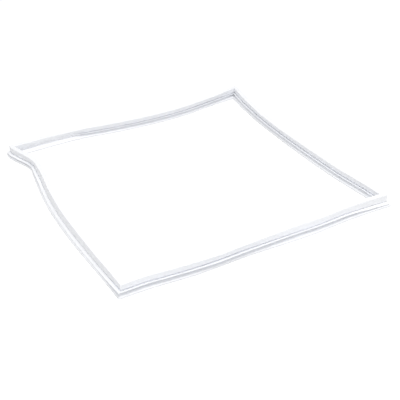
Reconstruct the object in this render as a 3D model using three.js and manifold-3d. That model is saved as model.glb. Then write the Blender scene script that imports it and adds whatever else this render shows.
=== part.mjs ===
// Magnetic door gasket of a refrigerator, lying loose on a flat surface.
//
// One soft extruded section is cut to four lengths, which are welded at mitred corners into a
// closed frame. From the top down, the section is a flat head with a magnet strip in its pocket,
// a waist, a flange that stands out on both sides, a neck, and a wide base. The head and the neck
// are hollow. Lying loose, each side waves: its base sways sideways, and its head leans over it.
//
// Millimetres. +Z is up, and the base lies on z = 0. The origin is the middle of the outline.
// Across a side, "out" is measured from the middle of the head, away from the frame's opening.

import * as THREE from "three";
import { mergeVertices } from "three/addons/utils/BufferGeometryUtils.js";
import Module from "manifold-3d";

const wasm = await Module();
wasm.setup();

// Outline, over the outer edges of the head
const OUTLINE_WIDTH = 597;
const OUTLINE_DEPTH = 629;

// Magnet strip and the head around it
const MAGNET_WIDTH = 8.2;
const MAGNET_THICKNESS = 3;
const MAGNET_CLEARANCE = 0.3;
const HEAD_WALL = 1.1;
const HEAD_SKIRT = 6.1;
const HEAD_TAPER = 0.6;
const HEAD_EDGE_RADIUS = 0.7;

// Waist under the head: an undercut on both sides, and the flare from it out to the head's foot
const WAIST_INSET = 2.3;
const WAIST_HEIGHT = 2.5;
const WAIST_FLARE = 1.3;

// Flanges, which rise outwards from the foot of the waist. The inner one is shorter.
const FLANGE_OUTER_REACH = 7;
const FLANGE_OUTER_RISE = 4.6;
const FLANGE_INNER_REACH = 4.6;
const FLANGE_INNER_RISE = 3.6;
const FLANGE_ROOT_THICKNESS = 2.2;
const FLANGE_TIP_THICKNESS = 1.3;

// How far the outer flange's tip hangs down where it sags fully
const FLANGE_SAG = 6.6;

// Neck, and the base, whose top slopes up to the neck
const NECK_INSET = 1.7;
const NECK_HEIGHT = 1;
const BASE_OUTER_REACH = 6;
const BASE_INNER_REACH = 6;
const BASE_THICKNESS = 3.4;
const BASE_SLOPE = 4.8;
const BASE_EDGE_RADIUS = 0.8;

// Walls of the hollow neck and base, and the holes that let air out of the hollows
const BELLOWS_WALL = 0.9;
const BASE_WALL = 1.2;
const BASE_RIM = 3.4;
const VENT_RADIUS = 1.4;
const CORNER_NOTCH_RADIUS = 1.8;
const CORNER_NOTCH_DEPTH = 2.6;

// Fineness of the sweep
const STATION_STEP = 34;
const CORNER_MARGIN = 5;
const FILLET_STEPS = 1;

// Where each side sways, leans and sags, as seen on the loose gasket. "at" is the share of the way
// along the side, going round counter-clockwise from the near left corner. "base" and "head" are how
// far the base and the head stand out there from the straight line between two square corners, and
// "sag" is the share of the full sag by which the outer flange hangs down.
const FRONT_BENDS = [
  { at: 0, base: 0, head: 0, sag: 0 },
  { at: 0.08, base: 0, head: -1, sag: 0 },
  { at: 0.15, base: 2.5, head: 2.7, sag: 0 },
  { at: 0.24, base: 5.8, head: 6.2, sag: 0 },
  { at: 0.32, base: 4.3, head: 8, sag: 0 },
  { at: 0.42, base: 2.1, head: 5.2, sag: 0 },
  { at: 0.52, base: 3, head: 2.8, sag: 0 },
  { at: 0.64, base: 4.9, head: 0.8, sag: 0 },
  { at: 0.71, base: 3.9, head: 1, sag: 0 },
  { at: 0.77, base: 0.7, head: -0.5, sag: 0 },
  { at: 0.84, base: -2.2, head: -3.8, sag: 0.1 },
  { at: 0.92, base: -3.2, head: -4.5, sag: 0.6 },
  { at: 1, base: -2, head: -3, sag: 1 },
];
const RIGHT_BENDS = [
  { at: 0, base: -1, head: 0, sag: 1 },
  { at: 0.08, base: -1.6, head: -2.5, sag: 0.85 },
  { at: 0.16, base: -6, head: -7.5, sag: 0.6 },
  { at: 0.24, base: -10.1, head: -12, sag: 0.35 },
  { at: 0.37, base: -13.6, head: -15.2, sag: 0.1 },
  { at: 0.47, base: -14.5, head: -17, sag: 0 },
  { at: 0.6, base: -14, head: -18.5, sag: 0 },
  { at: 0.74, base: -12.4, head: -16.2, sag: 0 },
  { at: 0.81, base: -9.7, head: -12.4, sag: 0 },
  { at: 0.9, base: -5, head: -6.2, sag: 0 },
  { at: 1, base: 3, head: 4, sag: 0 },
];
const BACK_BENDS = [
  { at: 0, base: 9, head: 9, sag: 0 },
  { at: 0.1, base: 4, head: -3, sag: 0 },
  { at: 0.18, base: -2.4, head: -10, sag: 0 },
  { at: 0.25, base: -8.8, head: -15.6, sag: 0 },
  { at: 0.34, base: -11, head: -18, sag: 0 },
  { at: 0.45, base: -9, head: -15.1, sag: 0 },
  { at: 0.56, base: -2.1, head: -7.2, sag: 0 },
  { at: 0.62, base: 3.8, head: -2.1, sag: 0 },
  { at: 0.68, base: 9.7, head: 4.6, sag: 0 },
  { at: 0.74, base: 13.6, head: 8.1, sag: 0 },
  { at: 0.84, base: 14, head: 11, sag: 0 },
  { at: 0.92, base: 12.4, head: 10, sag: 0.5 },
  { at: 1, base: 9, head: 9, sag: 1 },
];
const LEFT_BENDS = [
  { at: 0, base: 0, head: 0, sag: 1 },
  { at: 0.05, base: -9, head: -9, sag: 0.95 },
  { at: 0.1, base: -21, head: -18, sag: 0.8 },
  { at: 0.13, base: -24, head: -21.5, sag: 0.7 },
  { at: 0.17, base: -19, head: -22, sag: 0.6 },
  { at: 0.26, base: -10, head: -17, sag: 0.5 },
  { at: 0.36, base: -1.5, head: -8, sag: 0.5 },
  { at: 0.45, base: 3.5, head: -2.4, sag: 0.5 },
  { at: 0.54, base: 6.2, head: 1.4, sag: 0.6 },
  { at: 0.67, base: 7, head: 2.7, sag: 0.6 },
  { at: 0.83, base: 4.5, head: 2.2, sag: 0.6 },
  { at: 0.93, base: 2.9, head: 0.6, sag: 0.4 },
  { at: 1, base: 2, head: 0, sag: 0 },
];

// Levels and half widths of the section that follow from the sizes above
const HEAD_HALF = MAGNET_WIDTH / 2 + MAGNET_CLEARANCE + HEAD_WALL;
const FOOT_HALF = HEAD_HALF - HEAD_TAPER;
const WAIST_HALF = FOOT_HALF - WAIST_INSET;
const NECK_HALF = FOOT_HALF - NECK_INSET;
const NECK_FOOT_Z = BASE_THICKNESS + BASE_SLOPE;
const FLANGE_UNDER_Z = NECK_FOOT_Z + NECK_HEIGHT;
const FLANGE_TOP_Z = FLANGE_UNDER_Z + FLANGE_ROOT_THICKNESS;
const WAIST_TOP_Z = FLANGE_TOP_Z + WAIST_HEIGHT;
const FOOT_Z = WAIST_TOP_Z + WAIST_FLARE;
const POCKET_FLOOR_Z = FOOT_Z + HEAD_SKIRT;
const POCKET_HEIGHT = MAGNET_THICKNESS + 2 * MAGNET_CLEARANCE;
const TOP_Z = POCKET_FLOOR_Z + POCKET_HEIGHT + HEAD_WALL;

// Distance from a corner to the first square-cut station, past the widest lip at the mitre
const FLANGE_REACH = Math.max(FLANGE_OUTER_REACH, FLANGE_INNER_REACH);
const BASE_REACH = Math.max(BASE_OUTER_REACH, BASE_INNER_REACH);
const CORNER_STATION = HEAD_HALF + Math.max(FLANGE_REACH, BASE_REACH) + CORNER_MARGIN;

// The four sides, each with its start corner, its direction, its length and its bends
const HALF_WIDTH = OUTLINE_WIDTH / 2 - HEAD_HALF;
const HALF_DEPTH = OUTLINE_DEPTH / 2 - HEAD_HALF;
const SIDES = [
  {
    name: "front",
    start: [-HALF_WIDTH, -HALF_DEPTH],
    heading: [1, 0],
    length: 2 * HALF_WIDTH,
    bends: FRONT_BENDS,
  },
  {
    name: "right",
    start: [HALF_WIDTH, -HALF_DEPTH],
    heading: [0, 1],
    length: 2 * HALF_DEPTH,
    bends: RIGHT_BENDS,
  },
  {
    name: "back",
    start: [HALF_WIDTH, HALF_DEPTH],
    heading: [-1, 0],
    length: 2 * HALF_WIDTH,
    bends: BACK_BENDS,
  },
  {
    name: "left",
    start: [-HALF_WIDTH, HALF_DEPTH],
    heading: [0, -1],
    length: 2 * HALF_DEPTH,
    bends: LEFT_BENDS,
  },
];

// Sway, lean and sag of a side at a share of its length. Between two bends they are cubics, whose slope
// at each bend is that of the line between the bends before and after it.
function swayAt(bends, share) {
  const last = bends.length - 1;
  let i = 0;
  while (i < last - 1 && share > bends[i + 1].at) i += 1;
  const slopeAt = (k, key) => {
    const before = bends[Math.max(k - 1, 0)];
    const after = bends[Math.min(k + 1, last)];
    return (after[key] - before[key]) / (after.at - before.at);
  };
  const span = bends[i + 1].at - bends[i].at;
  const t = (share - bends[i].at) / span;
  const cubic = (key) =>
    (1 + 2 * t) * (1 - t) ** 2 * bends[i][key] +
    t * (1 - t) ** 2 * span * slopeAt(i, key) +
    t * t * (3 - 2 * t) * bends[i + 1][key] +
    t * t * (t - 1) * span * slopeAt(i + 1, key);
  return { base: cubic("base"), head: cubic("head"), sag: cubic("sag") };
}

// Sideways shift and height of a point of the section. The shift grows from the base's to the
// head's with height, and the section turns with its lean, less and less towards the base.
function leaned(sway, out, z) {
  const rise = z / TOP_Z;
  const lean = sway.head - sway.base;
  return { shift: out + sway.base + lean * rise, height: z - (out * lean * rise) / TOP_Z };
}

// Level of a point of the section where its outer flange sags, most of all at the flange's tip.
function sagged(share, out, z) {
  const onFlange = z > FLANGE_UNDER_Z && z < FLANGE_TOP_Z + FLANGE_OUTER_RISE + FLANGE_TIP_THICKNESS;
  const reach = THREE.MathUtils.clamp((out - HEAD_HALF) / FLANGE_OUTER_REACH, 0, 1);
  return onFlange ? z - FLANGE_SAG * share * reach : z;
}

// A point of the section at a distance along a side, in world space.
function onSide(side, distance, out, z) {
  const sway = swayAt(side.bends, distance / side.length);
  const { shift, height } = leaned(sway, out, sagged(sway.sag, out, z));
  const [hx, hy] = side.heading;
  const x = side.start[0] + hx * distance + hy * shift;
  const y = side.start[1] + hy * distance - hx * shift;
  return [x, y, height];
}

// A point of the section on the mitre where a side meets the side before it, in world space.
function onCorner(side, before, out, z) {
  const ends = swayAt(before.bends, 1);
  const starts = swayAt(side.bends, 0);
  const level = sagged(starts.sag, out, z);
  const first = leaned(ends, out, level);
  const second = leaned(starts, out, level);
  const x = side.start[0] + before.heading[1] * first.shift + side.heading[1] * second.shift;
  const y = side.start[1] - before.heading[0] * first.shift - side.heading[0] * second.shift;
  return [x, y, (first.height + second.height) / 2];
}

// Distances of a side's stations: its bends, the steps between them, and one near each corner.
function stationsOf(side) {
  const nearest = CORNER_STATION;
  const farthest = side.length - CORNER_STATION;
  const bends = side.bends.map((bend) => bend.at * side.length);
  const marks = bends.filter((d) => d > nearest && d < farthest);
  const stops = [nearest, ...marks, farthest];
  return stops.flatMap((stop, i) => {
    if (i === stops.length - 1) return [stop];
    const steps = Math.ceil((stops[i + 1] - stop) / STATION_STEP);
    return Array.from({ length: steps }, (_, k) => stop + ((stops[i + 1] - stop) * k) / steps);
  });
}

// Rows of points for an outline carried once round the frame, with a mitre at each corner.
function frameRows(outline) {
  return SIDES.flatMap((side, i) => {
    const before = SIDES[(i + SIDES.length - 1) % SIDES.length];
    const mitre = outline.map((p) => onCorner(side, before, p.x, p.y));
    const rows = stationsOf(side).map((d) => outline.map((p) => onSide(side, d, p.x, p.y)));
    return [mitre, ...rows];
  });
}

// Closed mesh over rows of points. A ring joins its last row to its first, and a bar has flat ends.
function meshOf(rows, ring) {
  const wide = rows[0].length;
  const faces = [];
  const strips = ring ? rows.length : rows.length - 1;
  for (let r = 0; r < strips; r += 1) {
    const next = (r + 1) % rows.length;
    for (let c = 0; c < wide; c += 1) {
      const d = (c + 1) % wide;
      faces.push(r * wide + c, next * wide + c, next * wide + d);
      faces.push(r * wide + c, next * wide + d, r * wide + d);
    }
  }
  if (!ring) {
    const far = (rows.length - 1) * wide;
    for (let c = 1; c < wide - 1; c += 1) {
      faces.push(0, c, c + 1);
      faces.push(far, far + c + 1, far + c);
    }
  }
  const geometry = new THREE.BufferGeometry();
  geometry.setAttribute("position", new THREE.Float32BufferAttribute(rows.flat(2), 3));
  geometry.setIndex(faces);
  return geometry;
}

// A line from where the path stands to a corner, which it rounds on the way to the point after.
function roundedTo(path, corner, after, radius) {
  const from = path.currentPoint.clone();
  const entry = corner.clone().lerp(from, Math.min(radius / corner.distanceTo(from), 0.5));
  const leave = corner.clone().lerp(after, Math.min(radius / corner.distanceTo(after), 0.5));
  path.lineTo(entry.x, entry.y);
  path.quadraticCurveTo(corner.x, corner.y, leave.x, leave.y);
}

// Outline of the whole section, clockwise seen along the side, from the base's outer bottom corner.
function sectionOutline() {
  const half = (flangeReach, flangeRise, baseReach) => {
    const flangeTip = HEAD_HALF + flangeReach;
    const baseTip = HEAD_HALF + baseReach;
    const tipTop = FLANGE_TOP_Z + flangeRise;
    const tipRadius = FLANGE_TIP_THICKNESS / 2;
    return [
      { out: baseTip, z: 0, radius: BASE_EDGE_RADIUS },
      { out: baseTip, z: BASE_THICKNESS, radius: BASE_EDGE_RADIUS },
      { out: NECK_HALF, z: NECK_FOOT_Z, radius: 0 },
      { out: NECK_HALF, z: FLANGE_UNDER_Z, radius: 0 },
      { out: flangeTip, z: tipTop - FLANGE_TIP_THICKNESS, radius: tipRadius },
      { out: flangeTip, z: tipTop, radius: tipRadius },
      { out: WAIST_HALF, z: FLANGE_TOP_Z, radius: 0 },
      { out: WAIST_HALF, z: WAIST_TOP_Z, radius: 0 },
      { out: FOOT_HALF, z: FOOT_Z, radius: 0 },
      { out: HEAD_HALF, z: TOP_Z, radius: HEAD_EDGE_RADIUS },
    ];
  };
  const outer = half(FLANGE_OUTER_REACH, FLANGE_OUTER_RISE, BASE_OUTER_REACH);
  const inner = half(FLANGE_INNER_REACH, FLANGE_INNER_RISE, BASE_INNER_REACH);
  const corners = [...outer, ...inner.reverse().map((c) => ({ ...c, out: -c.out }))];
  const points = corners.map((c) => new THREE.Vector2(c.out, c.z));
  const path = new THREE.Path().moveTo(0, 0);
  corners.forEach((corner, i) => {
    const after = points[i + 1] ?? new THREE.Vector2(0, 0);
    if (corner.radius > 0) roundedTo(path, points[i], after, corner.radius);
    else path.lineTo(points[i].x, points[i].y);
  });
  return path.getPoints(FILLET_STEPS);
}

// Outline of the magnet's pocket, or of the magnet itself when it is drawn in by the clearance.
function pocketOutline(inset) {
  const half = MAGNET_WIDTH / 2 + MAGNET_CLEARANCE - inset;
  const low = POCKET_FLOOR_Z + inset;
  const high = POCKET_FLOOR_Z + POCKET_HEIGHT - inset;
  return [
    new THREE.Vector2(half, low),
    new THREE.Vector2(half, high),
    new THREE.Vector2(-half, high),
    new THREE.Vector2(-half, low),
  ];
}

// Outline of the hollow below the pocket: it follows the head's skirt, the waist, the neck and the
// base, and leaves the base a solid rim.
function bellowsOutline() {
  const flareLow = WAIST_TOP_Z + BELLOWS_WALL;
  const half = (baseReach) => {
    const rim = HEAD_HALF + baseReach - BASE_RIM;
    const climbed = (BASE_SLOPE * BASE_RIM) / (HEAD_HALF + baseReach - NECK_HALF);
    return [
      { out: rim, z: BASE_WALL },
      { out: rim, z: BASE_THICKNESS + climbed - BASE_WALL },
      { out: NECK_HALF - BELLOWS_WALL, z: NECK_FOOT_Z - BASE_WALL / 2 },
      { out: NECK_HALF - BELLOWS_WALL, z: FLANGE_UNDER_Z },
      { out: WAIST_HALF - BELLOWS_WALL, z: FLANGE_TOP_Z },
      { out: WAIST_HALF - BELLOWS_WALL, z: flareLow },
      { out: FOOT_HALF - BELLOWS_WALL, z: flareLow + WAIST_FLARE },
      { out: FOOT_HALF - BELLOWS_WALL, z: POCKET_FLOOR_Z - BELLOWS_WALL },
    ];
  };
  const inner = half(BASE_INNER_REACH).reverse().map((p) => ({ out: -p.out, z: p.z }));
  return [...half(BASE_OUTER_REACH), ...inner].map((p) => new THREE.Vector2(p.out, p.z));
}

// A three.js geometry as a solid that can be cut.
function solidOf(geometry) {
  const bare = geometry.clone();
  bare.deleteAttribute("normal");
  bare.deleteAttribute("uv");
  const merged = mergeVertices(bare, 1e-4);
  const vertProperties = merged.attributes.position.array;
  const triVerts = new Uint32Array(merged.index.array);
  return new wasm.Manifold(new wasm.Mesh({ numProp: 3, vertProperties, triVerts }));
}

// A cut solid as a three.js geometry.
function geometryOf(solid) {
  const mesh = solid.getMesh();
  const geometry = new THREE.BufferGeometry();
  geometry.setAttribute("position", new THREE.BufferAttribute(mesh.vertProperties, mesh.numProp));
  geometry.setIndex(new THREE.BufferAttribute(mesh.triVerts, 1));
  geometry.computeVertexNormals();
  return geometry;
}

// Upright round cutter between two heights.
function drill(x, y, radius, low, high) {
  const sides = 12;
  const cutter = new THREE.CylinderGeometry(radius, radius, high - low, sides);
  cutter.rotateX(Math.PI / 2);
  cutter.translate(x, y, (low + high) / 2);
  return solidOf(cutter);
}

// Breather hole from under the base into the hollow neck, at the middle of a side.
function ventOf(side) {
  const [x, y] = onSide(side, side.length / 2, 0, 0);
  return drill(x, y, VENT_RADIUS, -BASE_THICKNESS, BASE_THICKNESS + BELLOWS_WALL);
}

// Small notch at the head's inner corner, where the weld is trimmed, down into the pocket.
function cornerNotch(side, before) {
  const [x, y, z] = onCorner(side, before, -HEAD_HALF, TOP_Z);
  return drill(x, y, CORNER_NOTCH_RADIUS, z - CORNER_NOTCH_DEPTH, z + HEAD_WALL);
}

// The four welded lengths as one piece, with its two hollows and their holes.
function gasketFrame() {
  const whole = solidOf(meshOf(frameRows(sectionOutline()), true));
  const cuts = [
    solidOf(meshOf(frameRows(pocketOutline(0)), true)),
    solidOf(meshOf(frameRows(bellowsOutline()), true)),
    ...SIDES.map(ventOf),
    ...SIDES.map((side, i) => cornerNotch(side, SIDES[(i + SIDES.length - 1) % SIDES.length])),
  ];
  return geometryOf(cuts.reduce((solid, cut) => solid.subtract(cut), whole));
}

// One magnet strip, lying in the pocket of a side from its first to its last square-cut station.
function magnetStrip(side) {
  const outline = pocketOutline(MAGNET_CLEARANCE);
  const rows = stationsOf(side).map((d) => outline.map((p) => onSide(side, d, p.x, p.y)));
  return meshOf(rows, false);
}

const softVinyl = new THREE.MeshStandardMaterial({ color: 0xf1f3f6, roughness: 0.5, metalness: 0 });
const magnetRubber = new THREE.MeshStandardMaterial({ color: 0x3a3633, roughness: 0.75 });

function named(name, geometry, material) {
  const mesh = new THREE.Mesh(geometry, material);
  mesh.name = name;
  return mesh;
}

const gasket = new THREE.Group();
gasket.add(named("gasket_frame", gasketFrame(), softVinyl));
for (const side of SIDES) {
  gasket.add(named(`magnet_strip_${side.name}`, magnetStrip(side), magnetRubber.clone()));
}

// The sways aren't even, so the middle of the outline is found once the frame is made.
const outline = new THREE.Box3().setFromObject(gasket);
const middle = outline.getCenter(new THREE.Vector3());
gasket.position.set(-middle.x, -middle.y, -outline.min.z);

export default gasket;
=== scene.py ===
# %% [markdown]
# # A refrigerator door gasket
#
# The gasket is the soft white seal round a refrigerator's door. It is one long extruded section of
# vinyl, cut to four lengths, which are welded at their mitred corners into a frame. This lesson
# dresses the measured model of the gasket: it draws the section once, carries it round the wavy
# frame as a fine surface, and gives it the look of soft, slightly glossy vinyl.
#
# The measured model is loaded first. It stays where it is, and everything new is placed by it.

import bpy
import numpy as np
from math import radians
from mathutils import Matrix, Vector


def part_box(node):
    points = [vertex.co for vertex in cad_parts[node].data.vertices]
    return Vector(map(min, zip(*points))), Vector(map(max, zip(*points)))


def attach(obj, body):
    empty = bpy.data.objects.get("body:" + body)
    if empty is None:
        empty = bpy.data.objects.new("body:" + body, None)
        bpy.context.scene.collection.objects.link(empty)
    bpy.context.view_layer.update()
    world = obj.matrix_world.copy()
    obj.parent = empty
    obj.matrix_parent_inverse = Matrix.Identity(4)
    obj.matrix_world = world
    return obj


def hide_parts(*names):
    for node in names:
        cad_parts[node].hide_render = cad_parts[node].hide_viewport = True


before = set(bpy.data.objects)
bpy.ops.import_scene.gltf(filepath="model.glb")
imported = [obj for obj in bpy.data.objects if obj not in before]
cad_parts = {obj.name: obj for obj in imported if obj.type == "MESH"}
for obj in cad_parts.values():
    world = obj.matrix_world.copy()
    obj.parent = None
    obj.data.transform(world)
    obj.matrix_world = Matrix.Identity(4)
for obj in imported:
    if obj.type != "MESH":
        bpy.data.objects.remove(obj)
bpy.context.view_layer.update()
MM = 0.001

# %% [markdown]
# ## Camera
#
# The photograph looks down on the gasket from beyond its near left corner, through a longish lens.
# The four corners of the flat head are a rectangle seen in perspective, and that alone gives the
# lens, the height of the eye and a small tilt of the camera. The same place is used here, so that
# the picture and the render can be laid over each other.

# %% Camera
FILM_WIDTH = 36.0
LENS = 88.97
EYE_FROM_NEAR_CORNER = (-506.7, -1374.9, 1074.3)  # mm, from the foot of the head's near corner
TURN = (58.92, 2.57, -27.74)  # degrees about X, Y and Z
NEAR_CORNER = (-297.34, -317.73, 0.0)
FAR_LIMIT = 50.0  # metres, well beyond the floor's edge

camera = bpy.data.objects.new("camera", bpy.data.cameras.new("camera"))
camera.data.sensor_width = FILM_WIDTH
camera.data.lens = LENS
camera.location = (np.add(EYE_FROM_NEAR_CORNER, NEAR_CORNER) * MM).tolist()
camera.rotation_euler = [radians(angle) for angle in TURN]
camera.data.clip_end = FAR_LIMIT
bpy.context.collection.objects.link(camera)
bpy.context.scene.camera = camera
print("camera at", [round(v, 3) for v in camera.location])

# %% [markdown]
# ## Section
#
# From the top down, the section has a flat head that holds the magnet strip, a waist, a flange
# that rises outwards on both sides, a neck, and a wide base. It is drawn as a closed chain of corners,
# each with its own rounding. The chain is then sampled finely, because the soft rounded edges are
# what catches the light on the real vinyl. Sizes are in millimetres. Halves are measured from the
# middle of the section, reaches from the head's edge, and levels from the base's underside.

# %% Sizes of the section
HEAD_HALF = 5.5
FOOT_HALF = 4.9
FOOT_LEVEL = 14.6
WAIST_HALF = 2.6
WAIST_LEVEL = 13.3
FLANGE_ROOT = 10.6
FLANGE_UNDER = 8.7
FLANGE_TIP_THICKNESS = 1.3
OUTER_REACH, OUTER_TIP = 7.0, 14.9
INNER_REACH, INNER_TIP = 4.6, 14.2
NECK_HALF = 3.2
NECK_FOOT = 7.9
BASE_REACH = 6.0
BASE_THICKNESS = 3.4
TOP = 26.0
SECTION_STEP = 1.2
ARC_POINTS = 4
LARGEST_ROUNDING = 0.45  # share of an edge that one rounding may take


def rounded_chain(corners, step, arc_points):
    """Closed outline through corners (out, level, radius).

    Each corner is a quadratic curve: (1-t)^2 * entry + 2t(1-t) * corner + t^2 * leave, where entry
    and leave lie a radius away along the two edges. The straight stretches are cut into steps.
    """
    corners = np.asarray(corners, float)
    place, radius = corners[:, :2], corners[:, 2]
    ahead, behind = np.roll(place, -1, 0), np.roll(place, 1, 0)
    length = np.linalg.norm(ahead - place, axis=1)
    before = np.linalg.norm(behind - place, axis=1)
    leave = place + (ahead - place) * np.minimum(radius / length, LARGEST_ROUNDING)[:, None]
    entry = place + (behind - place) * np.minimum(radius / before, LARGEST_ROUNDING)[:, None]
    t = np.linspace(0, 1, arc_points)[:, None]
    pieces = []
    for i in range(len(place)):
        curve = (1 - t) ** 2 * entry[i] + 2 * t * (1 - t) * place[i] + t**2 * leave[i]
        pieces.append(curve if radius[i] > 0 else place[i : i + 1])
        goal = entry[(i + 1) % len(place)]
        count = max(int(np.linalg.norm(goal - leave[i]) / step), 1)
        pieces.append(leave[i] + (goal - leave[i]) * (np.arange(1, count) / count)[:, None])
    return np.concatenate(pieces)


def half_section(flange_reach, tip_level):
    """Corners (out, level, radius) of one half, from the base's bottom edge to the head's top."""
    base_tip, flange_tip = HEAD_HALF + BASE_REACH, HEAD_HALF + flange_reach
    return [
        (base_tip, 0.0, 0.5),
        (base_tip, BASE_THICKNESS, 0.7),
        (NECK_HALF, NECK_FOOT, 0.6),
        (NECK_HALF, FLANGE_UNDER, 0.5),
        (flange_tip, tip_level - FLANGE_TIP_THICKNESS, 0.55),
        (flange_tip, tip_level, 0.6),
        (WAIST_HALF, FLANGE_ROOT, 0.5),
        (WAIST_HALF, WAIST_LEVEL, 0.5),
        (FOOT_HALF, FOOT_LEVEL, 0.5),
        (HEAD_HALF, TOP, 0.8),
    ]


outer_half = half_section(OUTER_REACH, OUTER_TIP)
inner_half = [(-out, level, radius) for out, level, radius in half_section(INNER_REACH, INNER_TIP)]
SECTION = rounded_chain(outer_half + inner_half[::-1], SECTION_STEP, ARC_POINTS)
print("section:", len(SECTION), "points,", SECTION.min(0).round(1), "to", SECTION.max(0).round(1), "mm")

# %% [markdown]
# ## Waves of the loose gasket
#
# Out of its packing, a gasket never lies straight. The base of each side sways in and out, and the
# head leans over it by a little more or less. Each side has a short list of bends: the share of
# the way along the side, how far base and head stand out there in millimetres, and how much the
# outer flange hangs down. A cubic between the bends makes them one smooth wave. The left side has
# a sharp dog-leg close to its far corner.

# %% Bends of the four sides
OUTLINE_WIDTH = 597.0
OUTLINE_DEPTH = 629.0
FRONT_BENDS = [
    (0, 0, 0, 0), (0.08, 0, -1, 0), (0.15, 2.5, 2.7, 0), (0.24, 5.8, 6.2, 0), (0.32, 4.3, 8, 0),
    (0.42, 2.1, 5.2, 0), (0.52, 3, 2.8, 0), (0.64, 4.9, 0.8, 0.05), (0.71, 3.9, 1, 0.1),
    (0.77, 0.7, -0.5, 0.15), (0.84, -2.2, -3.8, 0.35), (0.92, -3.2, -4.5, 1), (1, -2, -3, 1.4),
]
RIGHT_BENDS = [
    (0, -1, 0, 1.4), (0.08, -1.6, -2.5, 1.1), (0.16, -6, -7.5, 0.7), (0.24, -10.1, -12, 0.35),
    (0.37, -13.6, -15.2, 0.1), (0.47, -14.5, -17, 0), (0.6, -14, -18.5, 0),
    (0.74, -12.4, -16.2, 0), (0.81, -9.7, -12.4, 0), (0.9, -5, -6.2, 0), (1, 3, 4, 0),
]
BACK_BENDS = [
    (0, 9, 9, 0), (0.1, 4, -3, 0), (0.18, -2.4, -10, 0), (0.25, -8.8, -15.6, 0),
    (0.34, -11, -18, 0), (0.45, -9, -15.1, 0), (0.56, -2.1, -7.2, 0), (0.62, 3.8, -2.1, 0),
    (0.68, 9.7, 4.6, 0), (0.74, 13.6, 8.1, 0), (0.84, 14, 11, 0), (0.92, 12.4, 10, 0.5),
    (1, 9, 9, 1),
]
LEFT_BENDS = [
    (0, 0, 0, 1), (0.05, -9, -9, 0.95), (0.1, -21, -18, 0.85), (0.125, -24.2, -21.2, 0.8),
    (0.135, -24.2, -22, 0.8), (0.17, -19, -22, 0.8), (0.26, -10, -17, 0.95),
    (0.36, -1.5, -8, 1.3), (0.45, 3.5, -2.4, 1.42), (0.54, 6.2, 1.4, 1.42), (0.67, 7, 2.7, 1.42),
    (0.83, 4.5, 2.2, 1.4), (0.93, 2.9, 0.6, 1), (1, 2, 0, 0),
]


def sway(bends, share):
    """Base, head and sag at shares of a side: a cubic between bends, with the chords' slopes."""
    at, base, head, sag = np.asarray(bends, float).T
    share = np.clip(share, 0, 1)
    low = np.clip(np.searchsorted(at, share, side="right") - 1, 0, len(at) - 2)
    place = np.arange(len(at))
    before, after = np.maximum(place - 1, 0), np.minimum(place + 1, len(at) - 1)
    span = at[low + 1] - at[low]
    t = (share - at[low]) / span

    def cubic(value):
        slope = (value[after] - value[before]) / (at[after] - at[before])
        return (
            (1 + 2 * t) * (1 - t) ** 2 * value[low]
            + t * (1 - t) ** 2 * span * slope[low]
            + t**2 * (3 - 2 * t) * value[low + 1]
            + t**2 * (t - 1) * span * slope[low + 1]
        )

    return cubic(base), cubic(head), cubic(sag)


def leaned(bends, share, out, level):
    """Sideways place and height: the shift grows with height, and the section turns as it leans."""
    base, head, _ = sway(bends, share)
    rise = level / TOP
    lean = head - base
    return out + base + lean * rise, level - out * lean * rise / TOP


for side, bends in zip(
    ("front", "right", "back", "left"), (FRONT_BENDS, RIGHT_BENDS, BACK_BENDS, LEFT_BENDS)
):
    head_sways = [bend[2] for bend in bends]
    print(side, "head sways from", min(head_sways), "to", max(head_sways), "mm")

# %% [markdown]
# ## The frame as one surface
#
# The real frame is an extrusion, so the surface is the section carried along each side. Every
# fibre of the section runs from one mitre to the next: its start and end lie on the mitre planes,
# which makes the four corners close exactly. Stations are close together near the mitres, where
# the weld stands proud as a hair-thin bead and a small notch is left at the head's inner corner.
# The flanges are soft. The outer one hangs down towards two of the corners and all along the left
# side, and the inner one is pressed up against the head at one end of the back side.

# %% Carry the section round the frame
STATION_STEP = 5.4
NEAR_MITRE = np.array([0, 0.25, 0.5, 0.8, 1.2, 1.7, 2.3, 3.2, 4.5, 6.5, 9.5])
WELD_BEAD = 0.14
WELD_REACH = 0.5
NOTCH_RADIUS = 1.7
NOTCH_DEPTH = 2.2
NOTCH_STEEPNESS = 1.6

half_width = OUTLINE_WIDTH / 2 - HEAD_HALF
half_depth = OUTLINE_DEPTH / 2 - HEAD_HALF
SIDES = [  # front, right, back and left: start, heading, length and bends
    ((-half_width, -half_depth), (1, 0), 2 * half_width, FRONT_BENDS),
    ((half_width, -half_depth), (0, 1), 2 * half_depth, RIGHT_BENDS),
    ((half_width, half_depth), (-1, 0), 2 * half_width, BACK_BENDS),
    ((-half_width, half_depth), (0, -1), 2 * half_depth, LEFT_BENDS),
]
FLANGE_SLACK = 0.2  # above a flange's top line, and still part of the flange
FULL_SAG = 6.0  # how far the outer flange's tip hangs down at a sag of 1
PULLED_IN = 1.6
WAIST_OUT = 1.1
WAIST_BELOW, WAIST_ABOVE = 0.1, 0.4  # past the waist's ends, and still moved with it
SLUMP_LEVELS = (NECK_FOOT, FLANGE_UNDER, FLANGE_ROOT, WAIST_LEVEL, FOOT_LEVEL, 18.0)
SLUMP_DROPS = (0.0, 0.4, 1.0, 2.2, 2.5, 0.0)
BACK_SIDE = 2
FOLD_STARTS, FOLD_FULL = 0.70, 0.75
FOLD_IN, FOLD_UP = 4.0, 3.6


def along_flange(out, level, reach, tip_level):
    """Share of the way out along a flange, from 0 at its root to 1 at its tip, and 0 off it."""
    share = (out - WAIST_HALF) / (HEAD_HALF + reach - WAIST_HALF)
    top = FLANGE_ROOT + (tip_level - FLANGE_ROOT) * share
    return share * ((level > FLANGE_UNDER) & (level < top + FLANGE_SLACK) & (out > NECK_HALF))


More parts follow.
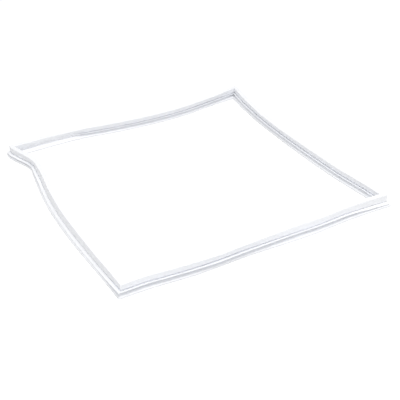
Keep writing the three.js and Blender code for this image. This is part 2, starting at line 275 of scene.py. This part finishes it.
def flanges_moved(i, share, section):
    """Section of each station with its flanges where they lie, each moved most at its tip.

    The outer flange hangs down by the sag, and draws the waist above it down and out a little.
    The inner flange is pressed up against the head at the far end of the back side.
    """
    out, level = section[:, 0], section[:, 1]
    outer = along_flange(out, level, OUTER_REACH, OUTER_TIP)
    inner = along_flange(-out, level, INNER_REACH, INNER_TIP)
    above = (out > 0) & (outer == 0)
    waist_low, waist_high = FLANGE_ROOT - WAIST_BELOW, WAIST_LEVEL + WAIST_ABOVE
    waist = above & (level > waist_low) & (level < waist_high)
    drop = np.interp(level, SLUMP_LEVELS, SLUMP_DROPS) * above + FULL_SAG * outer
    sag = sway(SIDES[i][3], share)[2]
    fold = ((share - FOLD_STARTS) / (FOLD_FULL - FOLD_STARTS)).clip(0, 1) * (i == BACK_SIDE)
    moved = out + sag * (WAIST_OUT * waist - PULLED_IN * outer) + FOLD_IN * fold * inner
    return moved, level - sag * drop + FOLD_UP * fold * inner


def outward_in_section(section):
    """Unit vectors that point out of the closed outline, from the chord between its neighbours."""
    chord = np.roll(section, -1, 0) - np.roll(section, 1, 0)
    normal = np.stack([chord[:, 1], -chord[:, 0]], 1)
    return normal / np.linalg.norm(normal, axis=1)[:, None]


def side_surface(i, section):
    """Grid of points of side i, stations by section points, and each point's distance along it."""
    start, heading, length, bends = SIDES[i]
    bends_before, bends_after = SIDES[i - 1][3], SIDES[(i + 1) % 4][3]
    middle = np.linspace(NEAR_MITRE[-1], length - NEAR_MITRE[-1], int(length / STATION_STEP))[1:-1]
    stops = np.concatenate([NEAR_MITRE, middle, (length - NEAR_MITRE)[::-1][:-1]])
    share = (stops / length)[:, None]

    to_mitre = np.minimum(stops, length - stops)[:, None]
    bead = WELD_BEAD * np.exp(-((to_mitre / WELD_REACH) ** 2))
    off_the_floor = section[:, 1] > BASE_THICKNESS / 2
    normal = outward_in_section(section)
    out, level = flanges_moved(i, share, section)
    out = out + bead * normal[:, 0]
    level = level + bead * normal[:, 1] * off_the_floor
    corner_gap = np.hypot(section[:, 0] + HEAD_HALF, to_mitre)
    notch = NOTCH_DEPTH * np.clip(NOTCH_STEEPNESS * (1 - corner_gap / NOTCH_RADIUS), 0, 1)
    level = level - notch * (section[:, 1] > TOP - NOTCH_DEPTH)

    first = -leaned(bends_before, 1.0, out, level)[0]
    last = length + leaned(bends_after, 0.0, out, level)[0]
    distance = first + (last - first) * share
    across, height = leaned(bends, distance / length, out, level)
    x = start[0] + heading[0] * distance + heading[1] * across
    y = start[1] + heading[1] * distance - heading[0] * across
    return np.stack([x, y, height], 2), distance


def frame_mesh(name):
    """The closed ring as a mesh, with a map of (distance along, distance round the section)."""
    grids, distances, so_far = [], [], 0.0
    for i in range(len(SIDES)):
        grid, distance = side_surface(i, SECTION)
        grids.append(grid)
        distances.append(distance + so_far)
        so_far += SIDES[i][2]
    points = np.concatenate(grids)
    along = np.concatenate(distances)
    stations, wide = points.shape[:2]
    points = points.reshape(-1, 3)
    box_low, box_high = np.array(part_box("gasket_frame")) / MM
    points[:, :2] += (box_low + box_high)[:2] / 2 - (points.min(0) + points.max(0))[:2] / 2

    here = np.arange(stations * wide).reshape(stations, wide)
    ahead = np.roll(here, -1, 0)
    quads = np.stack([here, ahead, np.roll(ahead, -1, 1), np.roll(here, -1, 1)], 2).reshape(-1, 4)
    mesh = bpy.data.meshes.new(name)
    mesh.from_pydata((points * MM).tolist(), [], quads.tolist())

    step = np.linalg.norm(np.diff(SECTION, axis=0, append=SECTION[:1]), axis=1)
    round_it = np.concatenate([[0], np.cumsum(step)[:-1]])
    u = np.broadcast_to(along, (stations, wide)).reshape(-1)
    v = np.broadcast_to(round_it, (stations, wide)).reshape(-1)
    layer = mesh.uv_layers.new(name="Along")
    layer.data.foreach_set("uv", (np.stack([u, v], 1)[quads.reshape(-1)] * MM).reshape(-1))
    mesh.shade_smooth()
    mesh.update()
    print(name, "stations", stations, "triangles", 2 * len(quads))
    return mesh


gasket = bpy.data.objects.new("gasket_vinyl", frame_mesh("gasket_vinyl"))
bpy.context.collection.objects.link(gasket)
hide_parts("gasket_frame")
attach(gasket, "root")

# %% [markdown]
# ## Shader maths
#
# In Blender, each sum in a material is a node. A small class wraps a socket, so that a formula on
# sockets is written as plain Python and the nodes are added behind it. A second class adds nodes to
# a material, with a method for each kind that is used more than once.

# %% Sockets in formulas
OBJECT_PLACE = 3  # outputs and inputs that are picked by number
CAMERA_RAY = 0
MIX_SHARE, MIX_FIRST, MIX_SECOND, MIX_COLOUR = 0, 6, 7, 2


class Value:
    """A socket that can be used in formulas. The formula adds the Math nodes it needs."""

    def __init__(self, tree, socket):
        self.tree = tree
        self.socket = socket

    def _math(self, operation, first, second):
        return self.tree.node("ShaderNodeMath", {"operation": operation}, {0: first, 1: second})[0]

    def __add__(self, other):
        return self._math("ADD", self, other)

    def __mul__(self, other):
        return self._math("MULTIPLY", self, other)


class Tree:
    """Nodes of a material or world, with one method that adds a node, its settings and inputs."""

    def __init__(self, owner):
        self.owner = owner
        self.owner.use_nodes = True
        self.nodes = self.owner.node_tree.nodes
        self.links = self.owner.node_tree.links
        self.nodes.clear()

    def node(self, kind, settings=None, inputs=None):
        made = self.nodes.new(kind)
        for key, value in (settings or {}).items():
            setattr(made, key, value)
        for key, value in (inputs or {}).items():
            if isinstance(value, Value):
                self.links.new(value.socket, made.inputs[key])
            else:
                made.inputs[key].default_value = value
        return [Value(self, socket) for socket in made.outputs]

    def object_place(self):
        return self.node("ShaderNodeTexCoord")[OBJECT_PLACE]

    def seen_by_camera(self):
        return self.node("ShaderNodeLightPath")[CAMERA_RAY]

    def noise(self, place, scale, detail):
        inputs = {"Vector": place, "Scale": scale, "Detail": detail}
        return self.node("ShaderNodeTexNoise", inputs=inputs)[0]

    def blend(self, share, first, second):
        inputs = {MIX_SHARE: share, MIX_FIRST: first, MIX_SECOND: second}
        return self.node("ShaderNodeMix", {"data_type": "RGBA"}, inputs)[MIX_COLOUR]

    def bump(self, height, strength, distance, over=None):
        """Normal with fine relief, which is laid over another relief where one is given."""
        inputs = {"Strength": strength, "Distance": distance, "Height": height}
        if over is not None:
            inputs["Normal"] = over
        return self.node("ShaderNodeBump", inputs=inputs)[0]

    def output(self, shader, kind="ShaderNodeOutputMaterial"):
        self.node(kind, inputs={"Surface": shader})
        return self.owner


# %% [markdown]
# ## Soft white vinyl
#
# The real material is plasticised PVC: white with a cool cast, a little waxy, and smooth with faint
# die lines along the extrusion. The colour drifts by about a hundredth, the gloss by a little more,
# and two fine bumps carry the die lines and the soft skin.

# %% Vinyl
VINYL_COLOUR = (0.925, 0.937, 0.97, 1.0)
VINYL_SHADE = (0.90, 0.915, 0.953, 1.0)
DIE_LINES_SCALE = (6.0, 1400.0, 1.0)  # per metre, along and round the section
CLOUDS_SCALE = 22.0
SKIN_SCALE = 700.0


def vinyl():
    tree = Tree(bpy.data.materials.new("vinyl_soft_white"))
    place = tree.object_place()
    run = tree.node("ShaderNodeUVMap", {"uv_map": "Along"})[0]
    mapping = {"Vector": run, "Scale": DIE_LINES_SCALE}
    stretched = tree.node("ShaderNodeMapping", inputs=mapping)[0]
    die_lines = tree.noise(stretched, 1.0, 2.0)
    clouds = tree.noise(place, CLOUDS_SCALE, 3.0)
    skin = tree.noise(place, SKIN_SCALE, 2.0)
    colour = tree.blend(clouds * 0.35 + die_lines * 0.2, VINYL_COLOUR, VINYL_SHADE)
    lines_bump = tree.bump(die_lines, strength=0.25, distance=0.00006)
    skin_bump = tree.bump(skin, strength=0.3, distance=0.00008, over=lines_bump)
    shader = tree.node(
        "ShaderNodeBsdfPrincipled",
        inputs={
            "Base Color": colour,
            "Roughness": clouds * 0.12 + 0.36,
            "IOR": 1.53,
            "Specular IOR Level": 0.45,
            "Subsurface Weight": 0.3,
            "Subsurface Radius": (1.0, 1.0, 1.0),
            "Subsurface Scale": 0.002,
            "Normal": skin_bump,
        },
    )[0]
    return tree.output(shader)


gasket.data.materials.append(vinyl())
print("vinyl:", len(gasket.active_material.node_tree.nodes), "nodes on", gasket.name)

# %% [markdown]
# ## Magnet strips
#
# The strips are ferrite powder in rubber: dark brown-grey, matte and faintly granular. They lie in
# the head's pocket and only show where a corner is cut open, so the measured solids stay.

# %% Magnets
MAGNET_COLOUR = (0.045, 0.040, 0.036, 1.0)
MAGNET_LIGHT = (0.075, 0.068, 0.062, 1.0)
GRAIN_SCALE = 900.0


def magnet_rubber():
    tree = Tree(bpy.data.materials.new("magnet_rubber"))
    grain = tree.noise(tree.object_place(), GRAIN_SCALE, 3.0)
    colour = tree.blend(grain, MAGNET_COLOUR, MAGNET_LIGHT)
    bump = tree.bump(grain, strength=0.4, distance=0.0001)
    inputs = {"Base Color": colour, "Roughness": grain * 0.2 + 0.6, "Normal": bump}
    shader = tree.node("ShaderNodeBsdfPrincipled", inputs=inputs)[0]
    return tree.output(shader)


magnet_finish = magnet_rubber()
for name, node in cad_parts.items():
    if name.startswith("magnet_strip"):
        node.data.materials.clear()
        node.data.materials.append(magnet_finish)
        print(name, "finished")

# %% [markdown]
# ## Floor
#
# The photograph is a plain product picture on white. The floor is matt white and a little of its
# light is its own for the camera alone, so it comes out white and still shows a faint shadow.

# %% Floor
WHITE = (1.0, 1.0, 1.0, 1.0)
FLOOR_COLOUR = (0.78, 0.78, 0.78, 1.0)
FLOOR_GLOW = 0.31
FLOOR_HALF = 6.0


def floor_finish():
    tree = Tree(bpy.data.materials.new("floor_white"))
    own_light = {"Color": WHITE, "Strength": tree.seen_by_camera() * FLOOR_GLOW}
    matt = tree.node("ShaderNodeBsdfDiffuse", inputs={"Color": FLOOR_COLOUR})[0]
    glow = tree.node("ShaderNodeEmission", inputs=own_light)[0]
    both = tree.node("ShaderNodeAddShader", inputs={0: matt, 1: glow})[0]
    return tree.output(both)


floor_corners = FLOOR_HALF * np.array([(-1, -1, 0), (1, -1, 0), (1, 1, 0), (-1, 1, 0)])
floor_mesh = bpy.data.meshes.new("floor")
floor_mesh.from_pydata(floor_corners.tolist(), [], [(0, 1, 2, 3)])
floor_mesh.materials.append(floor_finish())
floor = bpy.data.objects.new("floor", floor_mesh)
bpy.context.collection.objects.link(floor)
print("floor:", 2 * FLOOR_HALF, "m square")

# %% [markdown]
# ## Light
#
# One broad lamp hangs above and a little in front, and a pale surround lights every side alike.
# The level is set so that flat tops turn white and upright faces stay a shade below it.

# %% Lamp and surround
KEY_PLACE = (-0.15, -1.15, 3.0)
KEY_SIZE = 1.6
KEY_POWER = 52.0
SURROUND = 0.70


def soft_lamp(name, place, size, power):
    """Square area lamp that faces the middle of the gasket."""
    lamp = bpy.data.lights.new(name, "AREA")
    lamp.size = size
    lamp.energy = power
    made = bpy.data.objects.new(name, lamp)
    made.location = place
    facing = -made.location.normalized()
    made.rotation_euler = facing.to_track_quat("-Z", "Y").to_euler()
    bpy.context.collection.objects.link(made)


soft_lamp("key_above", KEY_PLACE, KEY_SIZE, KEY_POWER)


def pale_surround():
    """World that lights the scene evenly and is plain white to the camera."""
    tree = Tree(bpy.data.worlds.new("surround"))
    strength = tree.seen_by_camera() * (1 - SURROUND) + SURROUND
    inputs = {"Color": WHITE, "Strength": strength}
    backdrop = tree.node("ShaderNodeBackground", inputs=inputs)[0]
    return tree.output(backdrop, "ShaderNodeOutputWorld")


bpy.context.scene.world = pale_surround()
bpy.context.scene.view_settings.view_transform = "Standard"
print("lamp of", KEY_POWER, "W, surround of", SURROUND)
